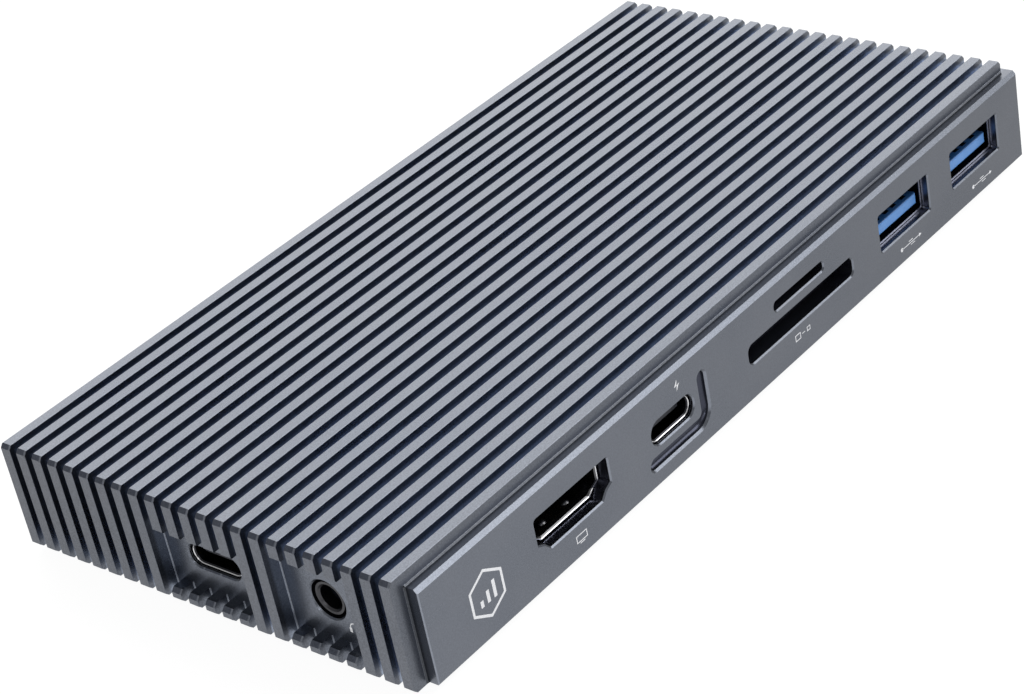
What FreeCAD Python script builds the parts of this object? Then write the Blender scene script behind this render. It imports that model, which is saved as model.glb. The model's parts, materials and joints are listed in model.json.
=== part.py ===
import FreeCAD, Part
import math
import os

# A USB-C laptop docking station: a finned aluminium housing, a port plate along one long side,
# a flat bottom cover, and the circuit board with its connectors inside. Millimetres, +Z up.
# The ports face -Y and -X. The origin is under the middle of the object, on the surface it stands on.

V = FreeCAD.Vector
X_AXIS, Y_AXIS, Z_AXIS = V(1, 0, 0), V(0, 1, 0), V(0, 0, 1)

# ---- driving dimensions -------------------------------------------------------------------------
LENGTH = 142.4            # along X, from the fins' -X faces to the flat +X end
BODY_H = 16.6             # housing height, without the feet
FOOT_T = 0.8              # how far the rubber feet stand out of the cover
FIN_COUNT = 23
FIN_PITCH = 3.1
FIN_W = 1.7
FIN_H = 2.1               # how far the fins stand up from the core's top
FIN_OUT = 2.5             # how far the fins stand out from the core's -X wall
FIN_SETBACK = 1.3         # the fins stop this far short of the +X end
FIN_FACET_IN = 0.47       # the facet at each end of a fin's top: its run along the top
FIN_FACET_DROP = 0.6      # and its drop down the end
FIN_FOOT_BEVEL = 0.5      # the bevel under the fins' -X ends
FRONT_BREAK = 0.05        # along the fins' edges that face -Y
REAR_BREAK = 0.12         # along the fin tops' rear edges
PLATE_BREAK = 0.15
OPENING_BREAK = 0.2       # round the openings for the ports
GROOVE_BREAK = 0.3        # along the groove beside the power port
PLATE_T = 1.75            # the part of the port plate that stands in front of the housing
PLATE_CHAMFER = 0.55
PLATE_LIFT = 0.2          # the plate's lower edge clears the housing's lower face by this
SPIGOT_T = 1.2            # the plate's rear step, which fits inside the housing
WALL = 2.0
ROOF_T = 1.4
COVER_T = 1.5
BOARD_T = 1.2
BOARD_TOP_DROP = 11.8     # from the fin tops down to the board's upper face
LEAD_IN = 0.25            # bevel inside a metal shell's mouth
LIP = 0.2                 # a bevelled lip on the housing, along its seam with the plate
ROOT_BEVEL = 0.15         # at the root of the fins, inside the two pockets

# ---- levels and faces worked out from them ------------------------------------------------------
WIDTH = PLATE_T + (FIN_COUNT - 1) * FIN_PITCH + FIN_W
X0, X1 = -LENGTH / 2, LENGTH / 2
Y0, Y1 = -WIDTH / 2, WIDTH / 2
FINS_Y = Y0 + PLATE_T                      # front wall of the front-most fin, and the plate's back
CORE_X = X0 + FIN_OUT                      # outer face of the -X wall, between the fins
BOTTOM = FOOT_T
TOP = BOTTOM + BODY_H
CORE_TOP = TOP - FIN_H
ROOF_UNDER = CORE_TOP - ROOF_T
COVER_TOP = BOTTOM + COVER_T
BOARD_TOP = TOP - BOARD_TOP_DROP
BOARD_UNDER = BOARD_TOP - BOARD_T
IN_X0, IN_X1 = CORE_X + WALL, X1 - WALL    # the cavity
IN_Y1 = Y1 - WALL
SPIGOT_Y = FINS_Y + SPIGOT_T


def from_left(distance):
    """x of a point this far from the fins' -X faces."""
    return X0 + distance


def below_top(distance):
    """z of a point this far below the fin tops."""
    return TOP - distance


# ---- port sizes and places: x from the -X end, z below the fin tops ------------------------------
HDMI_X, HDMI_Z = from_left(31.2), below_top(8.93)
PD_X, PD_Z = from_left(52.4), below_top(9.1)
CARD_X = from_left(82.75)
SD_Z, SD_OPEN = below_top(9.87), (25.8, 2.9, 1.0)
TF_Z, TF_OPEN = below_top(6.02), (12.1, 1.4, 0.6)
USB_A_X = (from_left(109.6), from_left(129.2))
USB_A_Z, USB_A_OPEN = below_top(9.0), (13.3, 5.8, 0.35)
USB_C_OPEN = (9.3, 3.5, 1.7)
HOST_Y, HOST_Z = FINS_Y + 34.8, below_top(9.9)
JACK_Y, JACK_Z = FINS_Y + 14.6, below_top(9.0)
JACK_HOLE_R, JACK_RING_R, JACK_BORE_R = 2.85, 2.4, 1.8
HDMI_BACK, PD_BACK, USB_A_BACK, CARD_BACK = 1.9, 0.7, 1.4, 2.4   # mouths behind the plate's face
HOST_BACK, JACK_BACK = 0.6, 0.4                                  # mouths behind the -X wall's face

# pockets in the -X fins: first and last fin that is cut, and the drop from the fin tops to the pocket's top
HOST_POCKET = (9, 13, 5.5)
JACK_POCKET = (3, 6, 2.9)
POCKET_FLOOR = below_top(14.7)
STUB_BEVEL = 0.55         # on the stubs of the cut fins, below a pocket
CUT_BEVEL = 0.25          # on the ends of the cut fins, above a pocket

# places in the cavity
SCREW_POST = 5.0
POST_SPOTS = [(IN_X0 + 2.5, -29.2), (IN_X0 + 2.5, IN_Y1 - 2.5),
              (IN_X1 - 2.5, -16.0), (IN_X1 - 2.5, IN_Y1 - 2.5)]
LUG_X = (from_left(15.0), from_left(119.4))
LUG_SIZE = (4.6, 4.4, 4.2)
STANDOFF_SPOTS = [(-52.0, -8.0), (-52.0, 28.0), (54.0, -8.0), (54.0, 28.0)]
SCREW_R, SCREW_HOLE_R = 0.97, 1.0


def place(shape, x=0, y=0, z=0):
    moved = shape.copy()
    moved.translate(V(x, y, z))
    return moved


def box(x_lo, x_hi, y_lo, y_hi, z_lo, z_hi):
    return Part.makeBox(x_hi - x_lo, y_hi - y_lo, z_hi - z_lo, V(x_lo, y_lo, z_lo))


def centred_box(x, y, width, depth, z_lo, z_hi):
    return box(x - width / 2, x + width / 2, y - depth / 2, y + depth / 2, z_lo, z_hi)


def union(shapes):
    return shapes[0].multiFuse(shapes[1:]).removeSplitter()


def cut_all(shape, tools):
    for tool in tools:
        shape = shape.cut(tool)
    return shape


def extruded(corners, reach):
    """The solid that a flat outline sweeps out along a vector."""
    return Part.Face(Part.makePolygon(corners + corners[:1])).extrude(reach)


def prism(points, y_lo, y_hi):
    """A solid with this outline in the XZ plane, from y_lo to y_hi."""
    return extruded([V(x, y_lo, z) for x, z in points], V(0, y_hi - y_lo, 0))


def column(points, z_lo, z_hi):
    """A solid with this outline in the XY plane, from z_lo to z_hi."""
    return extruded([V(x, y, z_lo) for x, y in points], V(0, 0, z_hi - z_lo))


def rail_along_x(points, x_lo, x_hi):
    """A solid with this outline in the YZ plane, from x_lo to x_hi."""
    return extruded([V(x_lo, y, z) for y, z in points], V(x_hi - x_lo, 0, 0))


def rounded_prism(width, height, radius, y_lo, y_hi, x=0, z=0):
    """A bar along Y whose section is a rectangle with round corners, centred on (x, z)."""
    radius = min(radius, width / 2 - 0.01, height / 2 - 0.01)
    bar = box(x - width / 2, x + width / 2, y_lo, y_hi, z - height / 2, z + height / 2)
    along = [e for e in bar.Edges if abs(e.Length - (y_hi - y_lo)) < 1e-6
             and abs(e.Vertexes[0].Point.y - e.Vertexes[1].Point.y) > 1e-6]
    return bar.makeFillet(radius, along)


def cylinder(radius, z_lo, z_hi, x=0, y=0):
    return Part.makeCylinder(radius, z_hi - z_lo, V(x, y, z_lo))


def y_cylinder(radius, y_lo, y_hi, x=0, z=0):
    return Part.makeCylinder(radius, y_hi - y_lo, V(x, y_lo, z), Y_AXIS)


def hexagon(across_flats, z_lo, z_hi, x, y):
    reach = across_flats / math.sqrt(3)
    ring = [V(x + reach * math.cos(math.radians(60 * k)), y + reach * math.sin(math.radians(60 * k)), z_lo)
            for k in range(7)]
    return Part.Face(Part.makePolygon(ring)).extrude(V(0, 0, z_hi - z_lo))


def save(name, *solids):
    shape = solids[0] if len(solids) == 1 else Part.makeCompound(list(solids))
    shape.exportStep("parts/" + name + ".step")
    print(f"{name:26s} {len(shape.Solids):3d} solid(s)  {shape.Volume:10.1f} mm3  valid {shape.isValid()}")


# ---- port outlines, about the port's own centre, mouth facing -Y --------------------------------
def hdmi_outline(grow):
    """The display port's outline in XZ: wide above, with two bevels on each lower corner."""
    top, side, step, low = 2.4 + grow, -1.05, -1.6, -2.4 - grow
    wide, inner, foot = 7.2 + grow, 6.0 + grow, 5.0 + grow
    right = [(wide, top), (wide, side), (inner, step), (foot, low)]
    return right + [(-x, z) for x, z in reversed(right)]


def hdmi_prism(grow, y_lo, y_hi):
    return prism(hdmi_outline(grow), y_lo, y_hi)


def hdmi_flare(grow_lo, y_lo, grow_hi, y_hi):
    """The display port's outline, changing from one size to another between two depths."""
    rings = [[V(x, y, z) for x, z in hdmi_outline(grow)] for grow, y in ((grow_lo, y_lo), (grow_hi, y_hi))]
    return Part.makeLoft([Part.makePolygon(r + r[:1]) for r in rings], True, True)


# ---- housing -----------------------------------------------------------------------------------
def one_fin():
    """One fin: along the top, and down the -X end to the housing's lower face."""
    root = 0.3
    tip = X1 - FIN_SETBACK
    outer = [(CORE_X, BOTTOM), (X0 + FIN_FOOT_BEVEL, BOTTOM), (X0, BOTTOM + FIN_FOOT_BEVEL),
             (X0, TOP - FIN_FACET_DROP), (X0 + FIN_FACET_IN, TOP),
             (tip - FIN_FACET_IN, TOP), (tip, TOP - FIN_FACET_DROP), (tip, CORE_TOP)]
    inner = [(tip, CORE_TOP - root), (CORE_X + root, CORE_TOP - root), (CORE_X + root, BOTTOM)]
    fin = prism(outer + inner, 0, FIN_W)
    rear_top = [e for e in fin.Edges if e.BoundBox.ZMin > TOP - 1e-6 and e.BoundBox.YMin > FIN_W - 1e-6]
    fin = fin.makeChamfer(REAR_BREAK, rear_top)

    def is_front_rim(edge):
        a, b = (v.Point for v in edge.Vertexes)
        middle = (a + b) * 0.5
        at_root = middle.x > CORE_X + root - 0.01 and middle.z < CORE_TOP - 0.01
        at_foot = middle.z < BOTTOM + 0.01 and middle.x > CORE_X
        return edge.BoundBox.YMax < 1e-6 and not at_root and not at_foot

    return fin.makeChamfer(FRONT_BREAK, [e for e in fin.Edges if is_front_rim(e)])


def fin_front(index):
    return FINS_Y + index * FIN_PITCH


def pocket(first, last, drop):
    """The clearance for a plug: the fins between two whole fins are cut back to the -X wall."""
    y_lo = fin_front(first - 1) + FIN_W
    y_hi = fin_front(last + 1)
    ceiling = below_top(drop)
    outside = X0 - 1
    low, high = POCKET_FLOOR - STUB_BEVEL - 1, ceiling + CUT_BEVEL + 1
    outline = [(CORE_X, POCKET_FLOOR), (X0 + STUB_BEVEL, POCKET_FLOOR), (outside, low),
               (outside, high), (X0 + CUT_BEVEL, ceiling), (CORE_X, ceiling)]
    return prism(outline, y_lo, y_hi)


def pocket_roots(first, last, drop):
    """Small bevels where the -X wall meets the fins' front walls: the stubs', and the pocket's far side."""
    tops = [(k, POCKET_FLOOR) for k in range(first, last + 1)] + [(last + 1, below_top(drop))]
    roots = []
    for k, z_hi in tops:
        y = fin_front(k)
        outline = [(CORE_X, y), (CORE_X - ROOT_BEVEL, y), (CORE_X, y - ROOT_BEVEL)]
        roots.append(column(outline, BOTTOM, z_hi))
    return roots


def seam_lips():
    """Bevelled lips at the foot of the front-most fin: along the plate's top and down its -X side."""
    out = FINS_Y - LIP
    x_out, z_out = CORE_X - LIP, CORE_TOP + LIP
    across = [(FINS_Y, CORE_TOP), (out, CORE_TOP), (out, z_out), (FINS_Y, z_out + LIP)]
    down = [(CORE_X, FINS_Y), (CORE_X, out), (x_out, out), (x_out - LIP, FINS_Y)]
    return [rail_along_x(across, x_out, X1 - FIN_SETBACK - LIP),
            column(down, BOTTOM + PLATE_LIFT, CORE_TOP + LIP)]


def finned_housing():
    core = box(CORE_X, X1, FINS_Y, Y1, BOTTOM, CORE_TOP)
    upright = [e for e in core.Edges if abs(e.Vertexes[0].Point.z - e.Vertexes[1].Point.z) > 1
               and e.Vertexes[0].Point.x > 0 and e.Vertexes[0].Point.y > 0]
    core = core.makeFillet(1.0, upright)
    fin = one_fin()
    body = union([core] + [place(fin, y=fin_front(k)) for k in range(FIN_COUNT)])
    body = body.cut(box(IN_X0, IN_X1, FINS_Y - 1, IN_Y1, BOTTOM - 1, ROOF_UNDER))
    pockets = (HOST_POCKET, JACK_POCKET)
    body = cut_all(body, [pocket(*p) for p in pockets])
    body = union([body] + seam_lips() + [root for p in pockets for root in pocket_roots(*p)])
    posts = [centred_box(x, y, SCREW_POST, SCREW_POST, COVER_TOP, ROOF_UNDER) for x, y in POST_SPOTS]
    body = union([body] + posts)
    body = cut_all(body, [cylinder(SCREW_HOLE_R, COVER_TOP - 1, COVER_TOP + 6, x, y) for x, y in POST_SPOTS])
    host = turned_to_left(rounded_prism(*USB_C_OPEN, -1, WALL + 1), HOST_Y, HOST_Z, 0)
    jack = turned_to_left(y_cylinder(JACK_HOLE_R, -1, WALL + 1), JACK_Y, JACK_Z, 0)
    body = cut_all(body, [host, jack])
    rims = [e for e in body.Edges if is_rim(e, "x", CORE_X, (HOST_Y, HOST_Z), 5.2, 2.2)
            or is_rim(e, "x", CORE_X, (JACK_Y, JACK_Z), 3.2, 3.2)]
    return body.makeChamfer(OPENING_BREAK, rims)


def is_rim(edge, axis, level, centre, reach_across, reach_up):
    """Whether an edge lies on a wall's outer face, inside this window round an opening."""
    span = edge.BoundBox
    if axis == "x":
        flat = abs(span.XMin - level) < 1e-4 and abs(span.XMax - level) < 1e-4
        across = span.YMin > centre[0] - reach_across and span.YMax < centre[0] + reach_across
    else:
        flat = abs(span.YMin - level) < 1e-4 and abs(span.YMax - level) < 1e-4
        across = span.XMin > centre[0] - reach_across and span.XMax < centre[0] + reach_across
    return flat and across and span.ZMin > centre[1] - reach_up and span.ZMax < centre[1] + reach_up


def turned_to_left(shape, y, z, back):
    """Turn a port that faces -Y so that it faces -X, its mouth this far behind the -X wall's face."""
    turned = shape.copy()
    turned.rotate(V(0, 0, 0), Z_AXIS, -90)
    return place(turned, CORE_X + back, y, z)


# ---- port plate ---------------------------------------------------------------------------------
def input_groove():
    """A round-bottomed channel with bevelled edges: down one side of the power port and along below it."""
    radius, bend = 0.8, 2.0
    x_leg, z_leg = from_left(59.4), below_top(13.2)
    z_start, x_end = below_top(6.7), from_left(47.6)
    x_turn, z_turn = x_leg - bend, z_leg + bend
    y_in, y_out = Y0 + GROOVE_BREAK, Y0 - GROOVE_BREAK
    wide = radius + (y_in - y_out)
    turn = box(x_turn, x_leg + 2, y_out - 1, y_in + 2, z_leg - 2, z_turn)

    def cone(r_out, r_in, x, z):
        return Part.makeCone(r_out, r_in, y_in - y_out, V(x, y_out, z), Y_AXIS)

    def flare(mid):
        return [(mid - wide, y_out), (mid + wide, y_out), (mid + radius, y_in), (mid - radius, y_in)]

    ring = cone(bend + wide, bend + radius, x_turn, z_turn)
    ring = ring.cut(cone(bend - wide, bend - radius, x_turn, z_turn))
    elbow = Part.makeTorus(bend, radius, V(x_turn, y_in, z_turn), Y_AXIS, 0, 360)
    pieces = [cylinder(radius, z_turn, z_start, x_leg, y_in), column(flare(x_leg), z_turn, z_start),
              Part.makeCylinder(radius, x_turn - x_end, V(x_end, y_in, z_leg), X_AXIS),
              rail_along_x([(y, z) for z, y in flare(z_leg)], x_end, x_turn),
              elbow.common(turn), ring.common(turn)]
    for x, z in ((x_leg, z_start), (x_end, z_leg)):
        pieces += [Part.makeSphere(radius, V(x, y_in, z)), cone(wide, radius, x, z)]
    return pieces


def front_plate():
    z_lo, z_hi = BOTTOM + PLATE_LIFT, CORE_TOP
    face = box(CORE_X, X1, Y0, FINS_Y, z_lo, z_hi)
    top_front = [e for e in face.Edges if e.BoundBox.ZMin > z_hi - 1e-6 and e.BoundBox.YMax < Y0 + 1e-6]
    face = face.makeChamfer(PLATE_CHAMFER, top_front)
    breaks = [e for e in face.Edges if e.BoundBox.YMax < Y0 + 1e-6 and e.BoundBox.ZMax < z_hi - 0.01
              and (e.BoundBox.ZLength > 5 or e.BoundBox.ZMin < z_lo + 0.01)]
    face = face.makeChamfer(PLATE_BREAK, breaks)
    spigot = box(IN_X0 + 0.1, IN_X1 - 0.1, FINS_Y, SPIGOT_Y, COVER_TOP + 0.1, ROOF_UNDER - 0.1)
    width, depth, height = LUG_SIZE
    lugs = [box(x - width / 2, x + width / 2, SPIGOT_Y, SPIGOT_Y + depth, COVER_TOP, COVER_TOP + height)
            for x in LUG_X]
    plate = union([face, spigot] + lugs)
    y_lo, y_hi = Y0 - 1, SPIGOT_Y + 1
    hdmi = hdmi_prism(0.3, y_lo, y_hi)
    hdmi_top = [e for e in hdmi.Edges if e.BoundBox.YLength > 1 and e.BoundBox.ZMin > 0]
    openings = [place(hdmi.makeFillet(0.4, hdmi_top), HDMI_X, 0, HDMI_Z),
                rounded_prism(*USB_C_OPEN, y_lo, y_hi, PD_X, PD_Z),
                rounded_prism(*SD_OPEN, y_lo, y_hi, CARD_X, SD_Z),
                rounded_prism(*TF_OPEN, y_lo, y_hi, CARD_X, TF_Z)]
    openings += [rounded_prism(*USB_A_OPEN, y_lo, y_hi, x, USB_A_Z) for x in USB_A_X]
    plate = cut_all(plate, openings)
    windows = [((HDMI_X, HDMI_Z), 8, 3.2), ((PD_X, PD_Z), 5.2, 2.2), ((CARD_X, SD_Z), 13.5, 1.7),
               ((CARD_X, TF_Z), 6.6, 1.1)] + [((x, USB_A_Z), 7, 3.2) for x in USB_A_X]
    rims = [e for e in plate.Edges if any(is_rim(e, "y", Y0, *w) for w in windows)]
    plate = plate.makeChamfer(OPENING_BREAK, rims)
    holes = [cylinder(SCREW_HOLE_R, COVER_TOP - 1, COVER_TOP + 3.6, x, SPIGOT_Y + depth / 2) for x in LUG_X]
    return cut_all(plate, input_groove() + holes)


# ---- bottom cover, its screws and the feet -------------------------------------------------------
COVER_SCREWS = POST_SPOTS + [(x, SPIGOT_Y + LUG_SIZE[1] / 2) for x in LUG_X]
HEAD_R, HEAD_H = 1.9, 0.95


def bottom_cover():
    gap = 0.1
    sheet = box(IN_X0 + gap, IN_X1 - gap, FINS_Y, IN_Y1 - gap, BOTTOM, COVER_TOP)
    for x, y in COVER_SCREWS:
        sheet = sheet.cut(cylinder(SCREW_R + 0.15, BOTTOM - 1, COVER_TOP + 1, x, y))
        sheet = sheet.cut(Part.makeCone(HEAD_R + 0.05, SCREW_R + 0.1, HEAD_H + 0.05, V(x, y, BOTTOM)))
    return sheet


def cover_screw(x, y):
    """A countersunk screw, its head in the cover's lower face, with a cross recess."""
    head = Part.makeCone(HEAD_R, SCREW_R, HEAD_H, V(x, y, BOTTOM))
    shank = cylinder(SCREW_R, BOTTOM + HEAD_H, BOTTOM + 4.6, x, y)
    slots = [centred_box(x, y, 2.0, 0.45, BOTTOM - 1, BOTTOM + 0.5),
             centred_box(x, y, 0.45, 2.0, BOTTOM - 1, BOTTOM + 0.5)]
    return cut_all(union([head, shank]), slots)


def rubber_foot(x, y):
    """A round-ended strip with a softened lower rim."""
    width, depth = 24.0, 7.0
    pad = centred_box(x, y, width, depth, 0, BOTTOM)
    upright = [e for e in pad.Edges if e.BoundBox.ZLength > BOTTOM - 1e-6]
    pad = pad.makeFillet(depth / 2 - 0.01, upright)
    rim = [e for e in pad.Edges if e.BoundBox.ZMax < 1e-6]
    return pad.makeChamfer(0.25, rim)


FOOT_SPOTS = [(sx * 46 + 1.2, sy * 24) for sx in (-1, 1) for sy in (-1, 1)]


# ---- circuit board and how it is held ------------------------------------------------------------
def main_board():
    board = box(IN_X0 + 0.6, IN_X1 - 0.6, SPIGOT_Y + 0.4, IN_Y1 - 0.6, BOARD_UNDER, BOARD_TOP)
    notch = SCREW_POST + 1.0
    for x, y in POST_SPOTS:
        board = board.cut(centred_box(x, y, notch, notch + 0.6, BOARD_UNDER - 1, BOARD_TOP + 1))
    for x in LUG_X:
        width, depth, _ = LUG_SIZE
        board = board.cut(box(x - width / 2 - 0.5, x + width / 2 + 0.5, SPIGOT_Y - 1, SPIGOT_Y + depth + 0.5,
                              BOARD_UNDER - 1, BOARD_TOP + 1))
    return cut_all(board, [cylinder(1.1, BOARD_UNDER - 1, BOARD_TOP + 1, x, y) for x, y in STANDOFF_SPOTS])


def standoff(x, y):
    post = hexagon(4.5, BOARD_TOP, ROOF_UNDER, x, y)
    return post.cut(cylinder(SCREW_HOLE_R, BOARD_TOP - 1, BOARD_TOP + 5, x, y))


def board_screw(x, y):
    """A pan-head screw from below the board."""
    head = cylinder(1.9, BOARD_UNDER - 1.2, BOARD_UNDER, x, y)
    rim = [e for e in head.Edges if e.BoundBox.ZMax < BOARD_UNDER - 1.1 and len(e.Vertexes) == 1]
    head = head.makeFillet(0.4, rim)
    shank = cylinder(SCREW_R, BOARD_UNDER, BOARD_TOP + 3.5, x, y)
    slots = [centred_box(x, y, 2.0, 0.45, BOARD_UNDER - 2, BOARD_UNDER - 0.6),
             centred_box(x, y, 0.45, 2.0, BOARD_UNDER - 2, BOARD_UNDER - 0.6)]
    return cut_all(union([head, shank]), slots)


# ---- connectors, each about its mouth's centre, facing -Y ----------------------------------------
def leg_pair(half_width, y_spots, z_from, drop, thick=0.3, wide=1.2):
    """Shell legs that reach down to the board's face."""
    return [box(side * half_width - thick / 2, side * half_width + thick / 2, y - wide / 2, y + wide / 2,
                z_from - drop, z_from) for side in (-1, 1) for y in y_spots]


def lead_in(shell, half_width, half_height):
    """Bevel the inner edges of a shell's mouth, which lie within this half width and half height."""
    def is_inner(edge):
        span = edge.BoundBox
        across = max(abs(span.XMin), abs(span.XMax)) < half_width + 0.01
        up = max(abs(span.ZMin), abs(span.ZMax)) < half_height + 0.01
        return span.YMax < 1e-4 and across and up

    return shell.makeChamfer(LEAD_IN, [e for e in shell.Edges if is_inner(e)])


def usb_c_parts(centre_z, length=8.4):
    """Receptacle shell, its tongue with the rear block, and both rows of contacts."""
    width, height, wall = 8.94, 3.2, 0.3
    hollow = rounded_prism(width - 2 * wall, height - 2 * wall, height / 2 - wall, -1, length + 1)
    legs = leg_pair(width / 2 - wall / 2, (3.4, 7.2), 0, centre_z - BOARD_TOP, wall)
    shell = rounded_prism(width, height, height / 2, 0, length).cut(hollow)
    shell = lead_in(shell, width / 2 - wall, height / 2 - wall)
    shell = union([shell] + [leg.cut(hollow) for leg in legs])
    blade = box(-3.35, 3.35, 1.1, 6.2, -0.33, 0.33)
    rear = rounded_prism(width - 2 * wall - 0.1, height - 2 * wall - 0.1, 1.2, 6.0, length)
    tongue = union([blade, rear])
    row = [-2.75 + 0.5 * k for k in range(12)]
    contacts = [box(x - 0.13, x + 0.13, 1.5, 6.0, z_lo, z_lo + 0.06) for x in row for z_lo in (0.33, -0.39)]
    return shell, tongue, contacts


def hdmi_parts():
    """Shell with two spring dimples in its floor, the insulator with its blade, and the contacts."""
    wall, length = 0.3, 11.0
    shell = hdmi_prism(0, 0, length).cut(hdmi_prism(-wall, -1, length + 1))
    shell = shell.cut(hdmi_flare(-wall + 2 * LEAD_IN, -LEAD_IN, -wall, LEAD_IN))
    bound = hdmi_prism(-0.05, 0, length)
    dimples = [Part.makeSphere(0.95, V(x, 2.2, -2.65)).common(bound) for x in (-2.4, 2.4)]
    legs = leg_pair(5.0, (3.0, 9.0), -2.3, HDMI_Z - 2.3 - BOARD_TOP, wall)
    shell = union([shell] + dimples + legs)
    blade = box(-6.0, 6.0, 2.2, 8.6, -0.35, 0.55)
    rear = hdmi_prism(-wall - 0.05, 8.5, length - 0.2)
    insulator = union([blade, rear])
    upper = [box(-4.5 + k - 0.2, -4.5 + k + 0.2, 2.8, 8.5, 0.55, 0.63) for k in range(10)]
    lower = [box(-4.0 + k - 0.2, -4.0 + k + 0.2, 2.8, 8.5, -0.43, -0.35) for k in range(9)]
    return shell, insulator, upper + lower


def usb_a_parts():
    """Shell, the blue tongue low in the mouth with its rear block, and the contacts on its upper face."""
    width, height, wall, length = 13.0, 5.6, 0.3, 14.0
    tongue_lo, tongue_hi = -1.65, 0.15
    hollow = rounded_prism(width - 2 * wall, height - 2 * wall, 0.25, -1, length + 1)
    shell = rounded_prism(width, height, 0.5, 0, length).cut(hollow)
    blade = box(-5.6, 5.6, 0.2, 10.2, tongue_lo, tongue_hi)
    front = [e for e in blade.Edges if e.BoundBox.YMax < 0.21]
    blade = blade.makeFillet(0.35, front)
    rear = rounded_prism(width - 2 * wall - 0.1, height - 2 * wall - 0.1, 0.25, 10.0, length)
    tongue = union([blade, rear])
    pads = [box(x - 0.5, x + 0.5, 0.9, 10.0, tongue_hi, tongue_hi + 0.1) for x in (-3.5, -1.0, 1.0, 3.5)]
    for x in (-4.6, -2.25, 0.0, 2.25, 4.6):
        pads.append(box(x - 0.3, x + 0.3, 1.5, 10.0, tongue_hi, tongue_hi + 0.3))
    return shell, tongue, pads


def card_socket_parts(slot_width, slot_height, length, floor_t, rail, contact_count, pitch, drop):
    """A card reader: floor with two rails and a rear wall, a steel lid over it, and spring contacts."""
    half, top = slot_width / 2, slot_height / 2
    floor_z = -top - floor_t

    def beside(side, y_lo, y_hi, z_lo, z_hi):
        centre = side * (half + rail / 2)
        return box(centre - rail / 2, centre + rail / 2, y_lo, y_hi, z_lo, z_hi)

    pieces = [box(-half - rail, half + rail, 0, length, floor_z, -top),
              box(-half, half, length - 1.5, length, -top, top)]
    pieces += [beside(side, 0, length, -top, top) for side in (-1, 1)]
    if drop > 0:
        pieces += [beside(side, 1.0, length - 1.0, floor_z - drop, floor_z) for side in (-1, 1)]
    lid = box(-half - rail, half + rail, 0.4, length, top, top + 0.2)
    windows = [centred_box(s * half * 0.5, length * 0.45, half * 0.35, 1.6, 0, slot_height) for s in (-1, 1)]
    first = -pitch * (contact_count - 1) / 2
    y_lo, y_hi = length * 0.4, length - 1.5
    centres = [first + pitch * k for k in range(contact_count)]
    springs = [box(x - 0.35, x + 0.35, y_lo, y_hi, -top, -top + 0.25) for x in centres]
    return union(pieces), cut_all(lid, windows), springs


def jack_parts():
    """A 3.5 mm socket: a body bored from its mouth, a metal ring round the mouth, and three springs."""
    half, length, bore_depth = 2.75, 13.0, 12.0
    z_lo = BOARD_TOP - JACK_Z
    body = box(-half, half, WALL - JACK_BACK + 0.3, length, z_lo, z_lo + 5.6)
    body = body.cut(y_cylinder(JACK_BORE_R, -1, bore_depth))
    slots = [box(s * 2.15 - 0.2, s * 2.15 + 0.2, 5.0, 11.0, -0.6, 0.6) for s in (-1, 1)]
    slots.append(box(-0.6, 0.6, 6.5, 11.5, 1.95, 2.35))
    body = cut_all(body, slots)
    ring = y_cylinder(JACK_RING_R, 0, WALL - JACK_BACK + 0.3).cut(y_cylinder(JACK_BORE_R, -1, 4))
    mouth = [e for e in ring.Edges if e.BoundBox.YMax < 1e-6 and e.BoundBox.ZLength < 2 * JACK_BORE_R + 0.1
             and len(e.Vertexes) == 1]
    ring = ring.makeChamfer(0.25, mouth)
    springs = [box(s * 2.15 - 0.1, s * 2.15 + 0.1, 5.2, 10.8, -0.45, 0.45) for s in (-1, 1)]
    springs.append(box(-0.45, 0.45, 6.7, 11.3, 2.05, 2.25))
    return body, ring, springs


# ---- what stands on the board --------------------------------------------------------------------
def chip(x, y, side):
    """A square chip with a round mark sunk at one corner of its top."""
    z_hi = BOARD_TOP + CHIP_H
    body = centred_box(x, y, side, side, BOARD_TOP, z_hi)
    return body.cut(cylinder(0.35, z_hi - 0.08, z_hi + 1, x - side / 2 + 0.9, y - side / 2 + 0.9))


def capacitor(x, y, turned=False):
    """A ceramic chip capacitor as one solid, its two end caps a little larger than its body."""
    length, side, cap, step = 1.6, 0.8, 0.35, 0.05
    z_hi = BOARD_TOP + side
    body = box(-length / 2, length / 2, step - side / 2, side / 2 - step, BOARD_TOP + step, z_hi - step)
    caps = [centred_box(s * (length - cap) / 2, 0, cap, side, BOARD_TOP, z_hi) for s in (-1, 1)]
    whole = union([body] + caps)
    if turned:
        whole.rotate(V(0, 0, 0), Z_AXIS, 90)
    return place(whole, x, y)


def inductor(x, y):
    side, height = 5.0, 3.0
    block = centred_box(x, y, side, side, BOARD_TOP, BOARD_TOP + height)
    upright = [e for e in block.Edges if e.BoundBox.ZLength > height - 1e-6]
    return block.makeChamfer(0.6, upright)


def polymer_capacitor(x, y):
    can = cylinder(2.6, BOARD_TOP + 0.6, BOARD_TOP + 5.4, x, y)
    top = [e for e in can.Edges if e.BoundBox.ZMin > BOARD_TOP + 5.3 and len(e.Vertexes) == 1]
    base = centred_box(x, y, 5.6, 5.6, BOARD_TOP, BOARD_TOP + 0.6)
    return union([can.makeFillet(0.3, top), base])


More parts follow.
